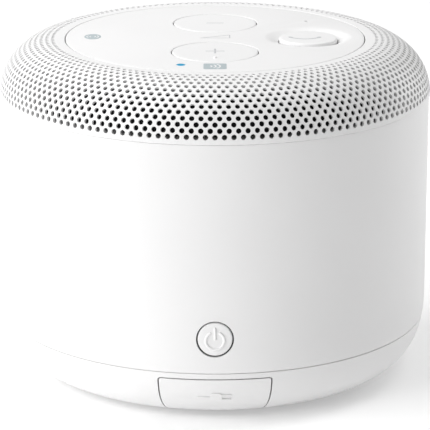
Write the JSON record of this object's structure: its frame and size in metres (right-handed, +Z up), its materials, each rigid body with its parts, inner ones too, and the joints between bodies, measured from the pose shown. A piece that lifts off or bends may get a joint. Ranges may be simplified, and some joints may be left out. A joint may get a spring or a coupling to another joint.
{
  "type": "smart speaker",
  "caption": "Low round white desktop speaker with a perforated domed shoulder, a flat button panel on top, a power button and a port door on the front.",
  "frame": {"origin": "centre of the underside, on the plane that the foot rests on", "axes": "+Z up; -Y is the front, with the power button and the port door; +X is to the right seen from the front"},
  "size_m": [0.086, 0.086, 0.067],
  "materials": {
    "white_plastic": "fine satin moulded, white",
    "foot_rubber": "matt, non-slip",
    "steel": "bright zinc plated",
    "plated_steel": "nickel plated",
    "black_plastic": "fine texture, black",
    "circuit_board": "green solder mask",
    "copper": "bare copper",
    "ferrite": "ground ferrite",
    "cone_paper": "pressed paper, black",
    "surround_rubber": "thin butyl roll",
    "spider_cloth": "resin-stiffened weave",
    "black_cloth": "open acoustic cloth",
    "battery_wrap": "heat-shrunk film",
    "blue_lens": "clear light pipe lit blue",
    "led_body": "encapsulated",
    "lead_cover": "smooth insulation",
    "ribbon_film": "polyimide film",
    "grey_print": "pad-printed, blue grey"
  },
  "bodies": {
    "housing": {"acoustic_scrim": "black_cloth", "amplifier_chip": "black_plastic", "audio_jack": "black_plastic", "baffle": "black_plastic", "base_screw_1": "steel", "base_screw_2": "steel", "base_screw_3": "steel", "base_screw_4": "steel", "base_shell": "white_plastic", "battery_lead": "lead_cover", "battery_pack": "battery_wrap", "body_shell": "white_plastic", "call_switch": "steel", "charge_socket": "plated_steel", "chassis": "black_plastic", "chassis_screw_1": "steel", "chassis_screw_2": "steel", "chassis_screw_3": "steel", "chassis_screw_4": "steel", "control_board": "circuit_board", "control_panel": "white_plastic", "driver_basket": "steel", "driver_lead": "lead_cover", "driver_magnet": "ferrite", "driver_screw_1": "steel", "driver_screw_2": "steel", "driver_screw_3": "steel", "driver_screw_4": "steel", "driver_spider": "spider_cloth", "driver_surround": "surround_rubber", "foot_ring": "foot_rubber", "grille": "white_plastic", "led_emitter": "led_body", "led_lens": "blue_lens", "magnet_top_plate": "steel", "magnet_yoke": "steel", "main_board": "circuit_board", "microphone": "steel", "panel_frame": "black_plastic", "panel_screw_1": "steel", "panel_screw_2": "steel", "panel_screw_3": "steel", "panel_screw_4": "steel", "power_board": "circuit_board", "power_switch": "black_plastic", "processor_chip": "black_plastic", "radio_module": "steel", "ribbon_cable": "ribbon_film", "tap_antenna": "copper", "volume_down_switch": "steel", "volume_up_switch": "steel"},
    "power_button": {"power_button": "white_plastic"},
    "volume_up_button": {"volume_up_button": "white_plastic"},
    "volume_down_button": {"volume_down_button": "white_plastic"},
    "call_button": {"call_button": "white_plastic"},
    "port_door": {"port_door": "white_plastic"},
    "speaker_cone": {"driver_cone": "cone_paper", "dust_cap": "cone_paper", "voice_coil": "copper"}
  },
  "joints": [
    {"name": "power_press", "type": "slide", "parent": "housing", "child": "power_button", "axis": [0, 1, 0], "range_m": [0, 0.0005], "stiffness_N_per_m": 800, "springref_m": -0.001},
    {"name": "volume_up_press", "type": "slide", "parent": "housing", "child": "volume_up_button", "axis": [0, 0, -1], "range_m": [0, 0.0005], "stiffness_N_per_m": 1200, "springref_m": -0.00075},
    {"name": "volume_down_press", "type": "slide", "parent": "housing", "child": "volume_down_button", "axis": [0, 0, -1], "range_m": [0, 0.0005], "stiffness_N_per_m": 1200, "springref_m": -0.00075},
    {"name": "call_press", "type": "slide", "parent": "housing", "child": "call_button", "axis": [0, 0, -1], "range_m": [0, 0.0006], "stiffness_N_per_m": 1200, "springref_m": -0.00075},
    {"name": "port_door_swing", "type": "hinge", "parent": "housing", "child": "port_door", "pos_m": [-0.0106, -0.0409, 0.0055], "axis": [0, 0, -1], "range_deg": [0, 100]},
    {"name": "cone_travel", "type": "slide", "parent": "housing", "child": "speaker_cone", "axis": [0, 0, 1], "range_m": [-0.001, 0.001], "stiffness_N_per_m": 900, "deforming": ["driver_surround", "driver_spider"]}
  ]
}
